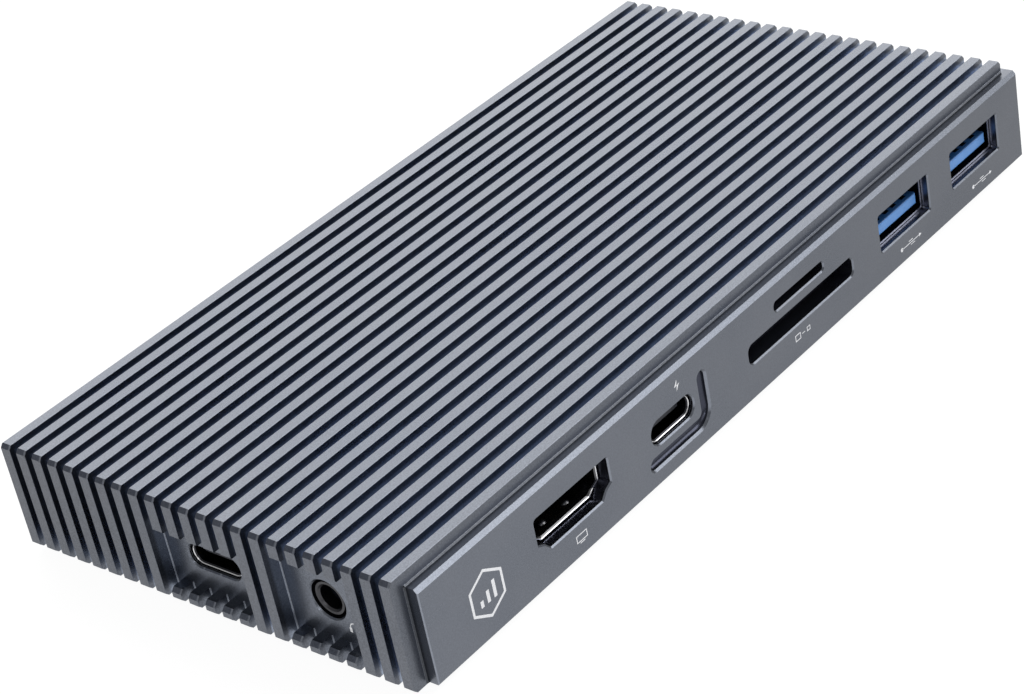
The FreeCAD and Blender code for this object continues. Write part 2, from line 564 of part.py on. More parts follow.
# x, y and side of each square chip
CHIPS = {"hub_controller": (-14.0, 4.0, 9.0), "display_bridge": (-36.0, 4.0, 7.0),
         "power_controller": (-14.0, -16.0, 5.0), "card_controller": (14.0, 8.0, 6.0),
         "audio_codec": (-48.0, -22.5, 4.0)}
COOLED = ("hub_controller", "display_bridge", "card_controller")
CHIP_H, PAD_H = 0.9, 0.6
SPREADER = (-47.0, 2.0, 23.0, 15.0)        # x from, y from, x to, y to of the heat spreader's plan
SPREADER_DROP = 2.4                        # how far its lands reach down to the chips
CRYSTAL_SPOTS = [(-4.0, -9.5), (-30.0, -9.5), (30.0, 20.0)]
INDUCTOR_SPOTS = [(-24.0, 24.0), (-16.0, 24.0), (-8.0, 24.0), (40.0, -14.0)]
BULK_SPOTS = [(4.0, 25.0), (12.0, 25.0), (-60.0, 24.0)]
CAPACITOR_PITCH = 4.0
CAPACITOR_ROWS = [(-45.0, 17.5, 17, True), (30.0, -10.0, 2, False), (34.0, 26.0, 4, False)]
RISER_W, RISER_T = 16.0, 0.8               # the small board that carries the micro card socket
RISER_DROP = 0.9                           # from the micro card slot's centre down to that board
RISER_Y = (SPIGOT_Y + 0.3, SPIGOT_Y + 34)
HEADER_W, HEADER_Y = 12.0, (SPIGOT_Y + 29, SPIGOT_Y + 33)


def heat_spreader():
    """An aluminium block from the chips' pads up to the pad under the roof."""
    x_lo, y_lo, x_hi, y_hi = SPREADER
    z_lo = BOARD_TOP + CHIP_H + PAD_H
    z_plate = z_lo + SPREADER_DROP
    pieces = [box(x_lo, x_hi, y_lo, y_hi, z_plate, ROOF_UNDER - PAD_H)]
    for name in COOLED:
        x, y, side = CHIPS[name]
        pieces.append(centred_box(x, y, side + 1, side + 1, z_lo, z_plate + 0.2))
    return union(pieces)


def thermal_pads():
    z_lo = BOARD_TOP + CHIP_H
    x_lo, y_lo, x_hi, y_hi = SPREADER
    pads = [box(x_lo + 2, x_hi - 2, y_lo + 2, y_hi - 2, ROOF_UNDER - PAD_H, ROOF_UNDER)]
    for name in COOLED:
        x, y, side = CHIPS[name]
        pads.append(centred_box(x, y, side, side, z_lo, z_lo + PAD_H))
    return pads


def capacitors():
    return [capacitor(x + CAPACITOR_PITCH * k, y, turned) for x, y, count, turned in CAPACITOR_ROWS
            for k in range(count)]


# ---- build and write -----------------------------------------------------------------------------
def write_port(name, parts, labels, put):
    """Write a connector's pieces, each put where the port is."""
    for label, piece in zip(labels, parts):
        solids = piece if isinstance(piece, list) else [piece]
        save(name + "_" + label, *[put(solid) for solid in solids])


def facing_front(x, z, back):
    return lambda shape: place(shape, x, Y0 + back, z)


def facing_left(y, z, back):
    return lambda shape: turned_to_left(shape, y, z, back)


def main():
    os.makedirs("parts", exist_ok=True)
    save("finned_housing", finned_housing())
    save("front_plate", front_plate())
    save("bottom_cover", bottom_cover())
    save("cover_screws", *[cover_screw(x, y) for x, y in COVER_SCREWS])
    save("rubber_feet", *[rubber_foot(x, y) for x, y in FOOT_SPOTS])
    save("main_board", main_board())
    save("board_standoffs", *[standoff(x, y) for x, y in STANDOFF_SPOTS])
    save("board_screws", *[board_screw(x, y) for x, y in STANDOFF_SPOTS])

    blade_parts = ("shell", "tongue", "contacts")
    to_host, to_power = facing_left(HOST_Y, HOST_Z, HOST_BACK), facing_front(PD_X, PD_Z, PD_BACK)
    write_port("host_usb_c", usb_c_parts(HOST_Z), blade_parts, to_host)
    write_port("power_usb_c", usb_c_parts(PD_Z), blade_parts, to_power)
    to_hdmi = facing_front(HDMI_X, HDMI_Z, HDMI_BACK)
    write_port("hdmi", hdmi_parts(), ("shell", "insulator", "contacts"), to_hdmi)
    for number, x in enumerate(USB_A_X, 1):
        write_port(f"usb_a_{number}", usb_a_parts(), blade_parts, facing_front(x, USB_A_Z, USB_A_BACK))
    socket_parts = ("body", "lid", "springs")
    socket_back = PLATE_T + SPIGOT_T + 0.1
    sd = card_socket_parts(24.6, 2.5, 27.0, 0.5, 1.6, 9, 2.5, SD_Z - 1.75 - BOARD_TOP)
    micro_sd = card_socket_parts(11.4, 1.2, 15.0, 0.3, 1.2, 8, 1.1, 0)
    write_port("sd_socket", sd, socket_parts, facing_front(CARD_X, SD_Z, socket_back))
    write_port("micro_sd_socket", micro_sd, socket_parts, facing_front(CARD_X, TF_Z, socket_back))
    to_jack = facing_left(JACK_Y, JACK_Z, JACK_BACK)
    write_port("audio_jack", jack_parts(), ("body", "ring", "springs"), to_jack)

    riser_top = TF_Z - RISER_DROP
    riser_under = riser_top - RISER_T
    riser_x = (CARD_X - RISER_W / 2, CARD_X + RISER_W / 2)
    header_x = (CARD_X - HEADER_W / 2, CARD_X + HEADER_W / 2)
    save("card_riser_board", box(*riser_x, *RISER_Y, riser_under, riser_top))
    save("riser_header", box(*header_x, *HEADER_Y, BOARD_TOP, riser_under))
    for name, (x, y, side) in CHIPS.items():
        save(name, chip(x, y, side))
    save("crystals", *[centred_box(x, y, 3.2, 2.5, BOARD_TOP, BOARD_TOP + 0.8) for x, y in CRYSTAL_SPOTS])
    save("power_inductors", *[inductor(x, y) for x, y in INDUCTOR_SPOTS])
    save("bulk_capacitors", *[polymer_capacitor(x, y) for x, y in BULK_SPOTS])
    save("chip_capacitors", *capacitors())
    save("heat_spreader", heat_spreader())
    save("thermal_pads", *thermal_pads())


main()
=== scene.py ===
import json
import math

import bmesh
import bpy
from mathutils import Matrix, Vector


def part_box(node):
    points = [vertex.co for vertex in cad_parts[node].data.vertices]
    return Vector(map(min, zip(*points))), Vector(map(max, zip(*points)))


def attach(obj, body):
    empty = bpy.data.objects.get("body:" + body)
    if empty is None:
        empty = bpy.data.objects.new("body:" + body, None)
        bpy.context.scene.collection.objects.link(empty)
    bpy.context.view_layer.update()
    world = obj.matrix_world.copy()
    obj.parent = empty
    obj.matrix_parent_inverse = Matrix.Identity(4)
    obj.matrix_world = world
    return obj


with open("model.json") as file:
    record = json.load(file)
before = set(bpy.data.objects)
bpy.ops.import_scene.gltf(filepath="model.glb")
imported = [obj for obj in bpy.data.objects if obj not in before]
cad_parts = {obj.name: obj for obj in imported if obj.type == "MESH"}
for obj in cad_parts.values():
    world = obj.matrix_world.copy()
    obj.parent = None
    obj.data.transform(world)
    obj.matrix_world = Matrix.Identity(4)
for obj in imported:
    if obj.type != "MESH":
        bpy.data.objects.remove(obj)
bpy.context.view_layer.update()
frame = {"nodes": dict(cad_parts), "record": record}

# Looks for the laptop docking station: materials for the CAD pieces, printed marks, and a white studio.
# Metres, in the CAD frame: ports face -Y and -X, +Z up, the object stands on z = 0.

MM = 0.001
NODES = frame["nodes"]
SLOT_OF = {part["node"]: part["material_slot"] for part in frame["record"]["subparts"]}
ROOT = "root"
TO_RIGHT, TO_LEFT, TO_FRONT, UPWARD = (1, 0, 0), (-1, 0, 0), (0, -1, 0), (0, 0, 1)
TO_FRONT_LEFT = (-1, -1, 0)
BLACK, WHITE = (0.0, 0.0, 0.0), (1.0, 1.0, 1.0)

# ---- places read from the frame ------------------------------------------------------------------
HOUSING_LOW, HOUSING_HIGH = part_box("finned_housing")
PLATE_LOW, PLATE_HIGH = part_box("front_plate")
TOP = HOUSING_HIGH.z
LEFT = HOUSING_LOW.x
PLATE_FACE = PLATE_LOW.y
PLATE_LEFT = PLATE_LOW.x                   # the plate's -X side is in line with the housing's -X wall
PLATE_PROUD = 1.75 * MM                    # how far the plate stands in front of the front-most fin
FINS_FRONT = PLATE_FACE + PLATE_PROUD      # front wall of that fin
FIN_SETBACK = 1.3 * MM                     # the fins stop this far short of the +X end

# ---- where painted light and shade change on the housing; lengths in millimetres -----------------
# the two pockets: from and to behind the front-most fin's front wall, and from this far below the fin tops
POCKETS = ((26.5, 43.4, 5.5), (7.9, 21.7, 2.9))
POCKET_SHARE = 0.1                         # how much of the grooves' painted light is left in the pockets
FIN_PITCH = 3.1
FIN_REACH = 2.6                            # every groove's floor is within this of the fins' outer faces
GROOVE_STARTS = (0.7, 1.1)                 # how far below those faces the grooves' painted light sets in
ENDS_FASTER = 20.0                         # it sets in this many times faster at the grooves' ends
SOFT_EDGE = 0.05                           # how gradually one painted tone gives way to the next
FACET_NORMAL = (-0.6, 0.0, 0.47)           # the bevels at the fins' -X ends
PAINTED_HIGHLIGHT_EDGE = (0.24, 0.36)                 # how far across a bevel its painted highlight reaches
END_PAINTED_SHADE = 0.2                             # painted shade: how much darker the fins' -X ends get toward the back,
END_PAINTED_SHADE_SPAN = (10.0, 70.0)               # between these places behind the front-most fin's front wall
LIP_EDGE = (-0.03, -0.01)                  # the seam's lips stand in front of the front-most fin

# ---- and on the port plate -----------------------------------------------------------------------
CHANNEL_X = (43.0, 58.5)                   # the channel round the power port, from the plate's -X side
WALL_STARTS = (0.3, 0.6)                   # how far behind the plate's face the painted shade in its openings sets in
PLATE_PAINTED_SHADE = 0.3                           # painted shade: how much darker the plate gets toward its right end,
PLATE_PAINTED_SHADE_END = 140.0                     # this far from its -X side
MOUTH_EDGE = (0.05, 0.1)                   # how far behind its mouth a port's shell turns to painted shade

# ---- colours -------------------------------------------------------------------------------------
ANODISED = (0.154, 0.167, 0.196)
GROOVE_PAINTED_LIGHT = (0.40, 0.46, 0.58)           # painted light: paler and bluer than the fins down the grooves, where little light gets in
FACET_PAINTED_SHADE = (0.12, 0.135, 0.175)          # painted shade on the bevels at the fins' -X ends
# shades of the anodised colour: the painted highlight on the bevels' edges, the painted shade on the
# seam's lips, the plate, painted paler, and the painted highlight on its left-facing bevels, and the cover
PAINTED_HIGHLIGHT_SHADE = 1.9
LIP_PAINTED_SHADE = 0.4
PLATE_PAINTED_LIGHT = 1.07
RIM_PAINTED_HIGHLIGHT = 1.6
COVER_SHADE = 0.85
OPENING_PAINTED_SHADE = (0.2, 0.215, 0.29)          # painted navy shade inside the plate's openings
CHANNEL_PAINTED_SHADE = (0.055, 0.06, 0.085)        # painted shade inside the channel round the power port
STEEL = (0.85, 0.85, 0.86)                 # the ports' shells at their mouths
SHELL_PAINTED_SHADE = (0.03, 0.03, 0.035)         # and painted shade further in
DIMPLED_PAINTED_SHADE = (0.12, 0.12, 0.125)       # painted shade further in on the HDMI shell, which has dimples
CONTACTS_IN_SHADE = (0.03, 0.07, 0.12)
# painted light and shade on the tongues: the front face paler, the top darker
TONGUE_FRONT_PAINTED_LIGHT, TONGUE_TOP_PAINTED_SHADE = (0.1, 0.29, 0.68), (0.025, 0.1, 0.28)
BOARD_PALE, BOARD_DARK = (0.012, 0.045, 0.03), (0.006, 0.02, 0.014)
GOLD, WORN_GOLD = (0.95, 0.66, 0.26), (0.8, 0.52, 0.2)
WHITE_INK = (0.86, 0.87, 0.9)
FLOOR_PALE, FLOOR_PALER = (0.1, 0.1, 0.1), (0.105, 0.105, 0.105)
FLOOR_GLOW, SKY_GLOW = 0.93, 0.4


# ---- small helpers for node materials ------------------------------------------------------------
class Maker:
    """Builds one material's node tree around a Principled shader."""

    def __init__(self, name, **values):
        self.material = bpy.data.materials.new(name)
        self.material.use_nodes = True
        self.tree = self.material.node_tree
        self.shader = next(n for n in self.tree.nodes if n.type == "BSDF_PRINCIPLED")
        self.coords = self.tree.nodes.new("ShaderNodeTexCoord").outputs["Object"]
        for socket, value in values.items():
            self.shader.inputs[socket.replace("_", " ")].default_value = value

    def link(self, source, target):
        self.tree.links.new(source, target)

    def scaled(self, scales):
        """Object coordinates times a scale for each axis."""
        mapping = self.tree.nodes.new("ShaderNodeMapping")
        mapping.inputs["Scale"].default_value = scales
        self.link(self.coords, mapping.inputs["Vector"])
        return mapping.outputs["Vector"]

    def noise(self, size, detail=2.0, roughness=0.5, stretch=(1, 1, 1)):
        """Noise whose features are about this size, in metres; stretch makes it longer along an axis."""
        noise = self.tree.nodes.new("ShaderNodeTexNoise")
        noise.inputs["Scale"].default_value = 1.0
        noise.inputs["Detail"].default_value = detail
        noise.inputs["Roughness"].default_value = roughness
        self.link(self.scaled([1 / (size * s) for s in stretch]), noise.inputs["Vector"])
        return noise.outputs["Fac"]

    def cells(self, size):
        """Voronoi distance, for pits and grains of about this size."""
        cells = self.tree.nodes.new("ShaderNodeTexVoronoi")
        cells.inputs["Scale"].default_value = 1.0
        self.link(self.scaled([1 / size] * 3), cells.inputs["Vector"])
        return cells.outputs["Distance"]

    def span(self, source, low, high, from_low=0.3, from_high=0.7):
        """Map a value to a range; most noise lies between 0.3 and 0.7."""
        node = self.tree.nodes.new("ShaderNodeMapRange")
        node.inputs["From Min"].default_value = from_low
        node.inputs["From Max"].default_value = from_high
        node.inputs["To Min"].default_value = low
        node.inputs["To Max"].default_value = high
        self.link(source, node.inputs["Value"])
        return node.outputs["Result"]

    def rise(self, source, start, end):
        """0 up to start, and 1 from end on."""
        return self.span(source, 0.0, 1.0, start, end)

    def fall(self, source, start, end):
        """1 up to start, and 0 from end on."""
        return self.span(source, 1.0, 0.0, start, end)

    def around(self, source, middle, spread):
        """Noise as a value this far to either side of the middle."""
        return self.span(source, middle - spread, middle + spread)

    def math(self, operation, a, b):
        node = self.tree.nodes.new("ShaderNodeMath")
        node.operation = operation
        for socket, value in zip(node.inputs, (a, b)):
            if isinstance(value, (int, float)):
                socket.default_value = value
            else:
                self.link(value, socket)
        return node.outputs["Value"]

    def less(self, a, b):
        return self.math("SUBTRACT", a, b)

    def least(self, *values):
        """The smallest of several values."""
        smallest = values[0]
        for value in values[1:]:
            smallest = self.math("MINIMUM", smallest, value)
        return smallest

    def mix(self, factor, a, b):
        """Mix two colours, each a colour or a socket."""
        node = self.tree.nodes.new("ShaderNodeMix")
        node.data_type = "RGBA"
        sockets = [s for s in node.inputs if s.type == "RGBA"]
        for socket, value in zip(sockets, (a, b)):
            if isinstance(value, tuple):
                socket.default_value = (*value, 1.0)
            else:
                self.link(value, socket)
        self.link(factor, node.inputs["Factor"])
        return next(s for s in node.outputs if s.type == "RGBA")

    def varied(self, source, colour, low, high=1.0):
        """A colour that noise takes between two shades of it."""
        return self.mix(self.span(source, 0.0, 1.0), shade(colour, low), shade(colour, high))

    def along(self, axis, zero, scale):
        """Distance along an object axis from zero, in units of scale; a negative scale turns it round."""
        split = self.tree.nodes.new("ShaderNodeSeparateXYZ")
        self.link(self.coords, split.inputs["Vector"])
        return self.math("DIVIDE", self.less(split.outputs[axis], zero), scale)

    def facing(self, direction, low, high):
        """1 where the surface's own normal is along this direction, 0 where it is well away from it."""
        texture = self.tree.nodes.new("ShaderNodeTexCoord")
        dot = self.tree.nodes.new("ShaderNodeVectorMath")
        dot.operation = "DOT_PRODUCT"
        self.link(texture.outputs["Normal"], dot.inputs[0])
        dot.inputs[1].default_value = Vector(direction).normalized()
        return self.rise(dot.outputs["Value"], low, high)

    def colour(self, source):
        self.link(source, self.shader.inputs["Base Color"])

    def roughness(self, source):
        self.link(source, self.shader.inputs["Roughness"])

    def bump(self, source, height, strength):
        """Relief of this height, in metres."""
        node = self.tree.nodes.new("ShaderNodeBump")
        node.inputs["Strength"].default_value = strength
        node.inputs["Distance"].default_value = height
        self.link(source, node.inputs["Height"])
        self.link(node.outputs["Normal"], self.shader.inputs["Normal"])


def shade(colour, factor):
    return tuple(c * factor for c in colour)


# ---- materials -----------------------------------------------------------------------------------
def blasted(m, colour, rough, contrast=0.2):
    """Bead-blasted metal: a fine even grain, with faint paler patches."""
    grain = m.noise(size=0.22 * MM, detail=3.0, roughness=0.65)
    patches = m.noise(size=12 * MM)
    grainy = m.mix(m.span(grain, 0.0, contrast), colour, BLACK)
    m.colour(m.mix(m.span(patches, 0.0, 0.02), grainy, WHITE))
    m.roughness(m.math("ADD", m.around(patches, rough, 0.03), m.around(grain, 0.0, 0.03)))
    m.bump(grain, height=0.01 * MM, strength=0.5)
    return m.material


def housing_aluminium(name, colour, rough):
    """The blasted finish with light and shade painted by place: painted light down the grooves, painted
    shade and a painted highlight on the fins' -X bevels, painted shade on the -X ends and on the seam's
    lips.
    """
    m = Maker(name, Metallic=1.0)
    below = m.along("Z", TOP, -MM)
    inside = m.along("X", LEFT, MM)
    behind = m.along("Y", FINS_FRONT, MM)
    from_ends = m.least(behind, m.along("Y", HOUSING_HIGH.y, -MM),
                        m.along("X", HOUSING_HIGH.x - FIN_SETBACK, -MM))
    depth = m.least(below, inside, m.math("MULTIPLY", from_ends, ENDS_FASTER))
    above_floor = m.math("MAXIMUM", m.less(FIN_REACH, below), m.less(FIN_REACH, inside))
    # painted light down the grooves: a paler, bluer tone deeper below the fins' outer faces, and less of
    # it in the pockets
    painted_groove_mask = m.least(m.rise(depth, *GROOVE_STARTS), m.rise(above_floor, 0.0, SOFT_EDGE))
    for y_from, y_to, drop in POCKETS:
        in_pocket = m.least(m.less(behind, y_from), m.less(y_to, behind), m.less(below, drop))
        share = m.span(in_pocket, 1.0, POCKET_SHARE, -SOFT_EDGE, SOFT_EDGE)
        painted_groove_mask = m.math("MULTIPLY", painted_groove_mask, share)
    with_painted_light = m.mix(painted_groove_mask, colour, GROOVE_PAINTED_LIGHT)
    # painted shade on the fins' -X bevels, with a painted highlight along one edge of each
    on_painted_highlight = m.fall(m.math("MODULO", behind, FIN_PITCH), *PAINTED_HIGHLIGHT_EDGE)
    painted_facet = m.mix(on_painted_highlight, FACET_PAINTED_SHADE, shade(colour, PAINTED_HIGHLIGHT_SHADE))
    with_painted_light = m.mix(m.facing(FACET_NORMAL, low=0.97, high=0.995), with_painted_light, painted_facet)
    # painted shade: the fins' -X ends darker toward the back
    painted_darkening = m.span(behind, 0.0, END_PAINTED_SHADE, *END_PAINTED_SHADE_SPAN)
    on_end = m.facing(TO_LEFT, low=0.9, high=0.99)
    with_painted_light = m.mix(m.math("MULTIPLY", on_end, painted_darkening), with_painted_light, BLACK)
    # painted shade on the seam's lips
    with_painted_light = m.mix(m.fall(behind, *LIP_EDGE), with_painted_light, shade(colour, LIP_PAINTED_SHADE))
    return blasted(m, with_painted_light, rough, contrast=0.42)


def plate_aluminium(name, colour, rough):
    """The blasted finish with painted light: a painted highlight on bevels that face front-left, painted
    bluer shade down inside, and painted shade darker toward the right.
    """
    m = Maker(name, Metallic=1.0)
    # painted highlight on the plate's bevels that face front-left
    with_painted_rims = m.mix(m.facing(TO_FRONT_LEFT, low=0.93, high=0.99), colour, shade(colour, RIM_PAINTED_HIGHLIGHT))
    from_left = m.along("X", PLATE_LEFT, MM)
    depth = m.least(m.along("Y", PLATE_FACE, MM), from_left, m.along("X", PLATE_HIGH.x, -MM),
                    m.along("Z", PLATE_HIGH.z, -MM), m.along("Z", PLATE_LOW.z, MM))
    in_channel = m.least(m.less(from_left, CHANNEL_X[0]), m.less(CHANNEL_X[1], from_left))
    # painted shade inside the plate's openings, darker in the channel round the power port
    painted_wall_shade = m.mix(m.rise(in_channel, -SOFT_EDGE, SOFT_EDGE), OPENING_PAINTED_SHADE, CHANNEL_PAINTED_SHADE)
    with_painted_light = m.mix(m.rise(depth, *WALL_STARTS), with_painted_rims, painted_wall_shade)
    # painted shade: the plate darker toward its right end
    painted_darkening = m.span(from_left, 0.0, PLATE_PAINTED_SHADE, 0.0, PLATE_PAINTED_SHADE_END)
    return blasted(m, m.mix(painted_darkening, with_painted_light, BLACK), rough)


def milled_aluminium(name, colour):
    m = Maker(name, Metallic=1.0)
    lines = m.noise(size=0.2 * MM, stretch=(40, 1, 1))
    m.colour(m.varied(lines, colour, 0.85))
    m.roughness(m.span(lines, 0.22, 0.4))
    m.bump(lines, height=0.01 * MM, strength=0.4)
    return m.material


def plated_steel(name, colour, rough=0.22, inside=None):
    """Plated metal, with faint rolling lines and small smudges.

    A port's shell is bright only at its mouth and painted shade further in: inside is then the painted
    shade's colour, the object axis that runs into the port, and where the mouth is along it.
    """
    m = Maker(name, Metallic=1.0)
    lines = m.noise(size=0.08 * MM, stretch=(1, 60, 1))
    smudges = m.noise(size=2 * MM)
    plating = m.varied(lines, colour, 0.9)
    if inside is not None:
        painted_shade_colour, axis, mouth = inside
        plating = m.mix(m.rise(m.along(axis, mouth, MM), *MOUTH_EDGE), plating, painted_shade_colour)
    m.colour(plating)
    m.roughness(m.math("ADD", m.around(lines, rough, 0.04), m.span(smudges, 0.0, 0.08)))
    m.bump(lines, height=0.004 * MM, strength=0.3)
    return m.material


def tongue_plastic(name):
    """Glossy blue plastic with painted light: paler where its front edge faces out of the port, painted
    shade on its top.
    """
    m = Maker(name)
    tone = m.noise(size=3 * MM)
    blue_with_painted_light = m.mix(m.facing(TO_FRONT, low=0.5, high=0.8), TONGUE_TOP_PAINTED_SHADE, TONGUE_FRONT_PAINTED_LIGHT)
    m.colour(m.mix(m.span(tone, 0.0, 0.12), blue_with_painted_light, BLACK))
    m.roughness(m.span(tone, 0.3, 0.4))
    m.bump(m.cells(size=0.15 * MM), height=0.005 * MM, strength=0.4)
    return m.material


def moulded_plastic(name, colour, rough):
    """Injection-moulded plastic with a fine spark-eroded texture."""
    m = Maker(name)
    tone = m.noise(size=3 * MM)
    m.colour(m.varied(tone, colour, 0.88, 1.1))
    m.roughness(m.around(tone, rough, 0.05))
    m.bump(m.cells(size=0.15 * MM), height=0.006 * MM, strength=0.5)
    return m.material


def rubber(name, colour):
    m = Maker(name)
    dust = m.noise(size=4 * MM, detail=3.0)
    m.colour(m.mix(m.span(dust, 0.0, 0.5), colour, shade(colour, 2.2)))
    m.roughness(m.span(dust, 0.75, 0.92))
    m.bump(m.cells(size=0.4 * MM), height=0.03 * MM, strength=0.5)
    return m.material


def solder_mask(name):
    """A black-green board; a faint relief of cells stands in for the copper under the mask."""
    m = Maker(name)
    tracks = m.cells(size=1.6 * MM)
    m.colour(m.mix(m.rise(tracks, 0.05, 0.12), BOARD_PALE, BOARD_DARK))
    m.roughness(m.span(m.noise(size=10 * MM), 0.25, 0.4))
    m.bump(tracks, height=0.02 * MM, strength=0.4)
    return m.material


def gold(name):
    m = Maker(name, Metallic=1.0)
    wear = m.noise(size=0.4 * MM, detail=3.0)
    m.colour(m.mix(m.span(wear, 0.0, 1.0), GOLD, WORN_GOLD))
    m.roughness(m.span(wear, 0.2, 0.38))
    return m.material


def ink(name):
    """Screen-printed white: slightly uneven cover, satin."""
    m = Maker(name)
    cover = m.noise(size=0.12 * MM)
    m.colour(m.varied(cover, WHITE_INK, 0.82))
    m.roughness(m.span(cover, 0.45, 0.6))
    m.bump(cover, height=0.004 * MM, strength=0.4)
    return m.material


def plain_finishes():
    """A finish for every material slot in the record."""
    cover = Maker("cover_aluminium", Metallic=1.0)
    return {
        "anodised_aluminium": housing_aluminium("anodised_aluminium", ANODISED, rough=0.3),
        "cover_aluminium": blasted(cover, shade(ANODISED, COVER_SHADE), rough=0.48),
        "bare_aluminium": milled_aluminium("bare_aluminium", (0.75, 0.76, 0.77)),
        "black_screw_steel": plated_steel("black_screw_steel", (0.08, 0.08, 0.085), rough=0.35),
        "foot_rubber": rubber("foot_rubber", (0.018, 0.018, 0.019)),
        "solder_mask": solder_mask("solder_mask"),
        "brass": milled_aluminium("brass", (0.75, 0.55, 0.26)),
        "thermal_pad": rubber("thermal_pad", (0.28, 0.3, 0.33)),
        "crystal_can": plated_steel("crystal_can", (0.72, 0.72, 0.72)),
        "ferrite": rubber("ferrite", (0.05, 0.05, 0.052)),
        "capacitor_can": milled_aluminium("capacitor_can", (0.75, 0.76, 0.78)),
        "ceramic": moulded_plastic("ceramic", (0.42, 0.3, 0.19), rough=0.5),
        "black_plastic": moulded_plastic("black_plastic", (0.012, 0.014, 0.022), rough=0.45),
        "blue_plastic": tongue_plastic("blue_plastic"),
        "dark_nickel": plated_steel("dark_nickel", (0.065, 0.065, 0.07), rough=0.3),
        "gold_contact": gold("gold_contact"),
        "connector_steel": plated_steel("connector_steel", (0.66, 0.66, 0.67)),
        "chip_plastic": moulded_plastic("chip_plastic", (0.02, 0.02, 0.021), rough=0.5),
    }


def own_finishes():
    """Finishes for pieces that differ from the rest of their slot, with painted light and shade: plate,
    shells, some contacts.
    """
    # painted light: the plate is a paler copy of the anodised colour
    own = {"front_plate": plate_aluminium("plate_aluminium", shade(ANODISED, PLATE_PAINTED_LIGHT), rough=0.3)}
    # painted shade: the USB-A contacts are dark steel in place of gold
    shaded_contacts = plated_steel("shaded_contacts", CONTACTS_IN_SHADE)
    own["usb_a_1_contacts"] = shaded_contacts
    own["usb_a_2_contacts"] = shaded_contacts
    inward = {"host_usb_c_shell": "X", "power_usb_c_shell": "Y", "hdmi_shell": "Y",
              "usb_a_1_shell": "Y", "usb_a_2_shell": "Y"}
    for name, axis in inward.items():
        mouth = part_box(name)[0]["XYZ".index(axis)]
        # painted shade further in, lighter on the dimpled HDMI shell
        painted_shade_colour = DIMPLED_PAINTED_SHADE if name == "hdmi_shell" else SHELL_PAINTED_SHADE
        own[name] = plated_steel(name + "_steel", STEEL, inside=(painted_shade_colour, axis, mouth))
    return own


def dress_cad_nodes():
    """Give every CAD piece its slot's finish, or a finish of its own."""
    finishes = plain_finishes()
    own = own_finishes()
    for name, node in NODES.items():
        node.data.materials.clear()
        node.data.materials.append(own.get(name, finishes[SLOT_OF[name]]))


# ---- printed marks -------------------------------------------------------------------------------
# Outlines are in millimetres about the mark's own centre: across to the right, and up.
INK_T = 0.01 * MM          # how thick the ink is
THIN = 0.12                # how wide the thinnest lines are


def bar(x_lo, x_hi, y_lo, y_hi):
    return [(x_lo, y_lo), (x_hi, y_lo), (x_hi, y_hi), (x_lo, y_hi)]


def frame_outline(width, height, line):
    """A rectangle drawn with a line of this width, as four bars."""
    w, h = width / 2, height / 2
    return [bar(-w, w, h - line, h), bar(-w, w, -h, line - h),
            bar(-w, line - w, line - h, h - line), bar(w - line, w, line - h, h - line)]


def shifted(shapes, across=0.0, up=0.0):
    return [[(x + across, y + up) for x, y in shape] for shape in shapes]


def disc(radius, count=16):
    return [(radius * math.cos(math.tau * k / count), radius * math.sin(math.tau * k / count))
            for k in range(count)]


def arc_band(radius, line, start, stop, count=14):
    """A curved stroke as a fan of small four-sided pieces, between two angles in degrees."""
    angles = [math.radians(start + (stop - start) * k / count) for k in range(count + 1)]
    inner, outer = radius - line / 2, radius + line / 2
    return [[(outer * math.cos(a), outer * math.sin(a)), (outer * math.cos(b), outer * math.sin(b)),
             (inner * math.cos(b), inner * math.sin(b)), (inner * math.cos(a), inner * math.sin(a))]
            for a, b in zip(angles, angles[1:])]


def steps_mark():
    """Three thin rising bars inside a hexagon."""
    bars = [bar(-1.5 + 1.25 * k, -0.95 + 1.25 * k, -1.4, -0.4 + 0.8 * k) for k in range(3)]
    return bars + arc_band(3.4, 0.45, 30, 390, count=6)


def screen_mark():
    """A screen on a foot."""
    return shifted(frame_outline(2.2, 1.1, line=0.14), up=0.15) + [bar(-0.5, 0.5, -0.68, -0.54)]


def bolt_mark():
    """A lightning bolt: two slanting halves and the piece between them."""
    return [[(0.15, 0.85), (-0.55, -0.1), (-0.05, -0.1)], [(-0.15, -0.85), (0.55, 0.1), (0.05, 0.1)],
            [(-0.05, -0.1), (-0.3, -0.1), (0.05, 0.1), (0.3, 0.1)]]


def cards_mark():
    """A big card and a small one, with a dash between them."""
    big = frame_outline(1.3, 1.0, line=0.13)
    small = frame_outline(0.8, 0.7, line=THIN)
    return shifted(big, -1.3) + shifted(small, 1.3) + [bar(-0.3, 0.4, -THIN / 2, THIN / 2)]


def link_mark():
    """A line with a dot at one end, an arrow at the other and a branch to each side."""
    line_and_arrow = [bar(-2.4, 2.2, -THIN / 2, THIN / 2), [(2.2, -0.3), (2.8, 0.0), (2.2, 0.3)]]
    branches = [bar(-0.6, 0.5, 0.3, 0.3 + THIN), bar(-0.1, 1.0, -0.3 - THIN, -0.3)]
    return line_and_arrow + branches + shifted([disc(0.32)], -2.5)


def headset_mark():
    """A headband and two ear pads."""
    return arc_band(0.75, 0.16, 0, 180) + [bar(-0.95, -0.55, -0.75, 0.0), bar(0.55, 0.95, -0.75, 0.0)]


def on_plate(across, drop):
    """A place on the plate's face: from the fins' -X faces, and below the fin tops, in millimetres."""
    spot = Vector((LEFT + across * MM, PLATE_FACE, TOP - drop * MM))
    return spot, Vector(TO_RIGHT), Vector(TO_FRONT)


def on_left_wall(behind, drop):
    """A place on the -X wall: behind the front-most fin's front wall, and below the fin tops."""
    spot = Vector((PLATE_LEFT, FINS_FRONT + behind * MM, TOP - drop * MM))
    return spot, Vector(TO_FRONT), Vector(TO_LEFT)


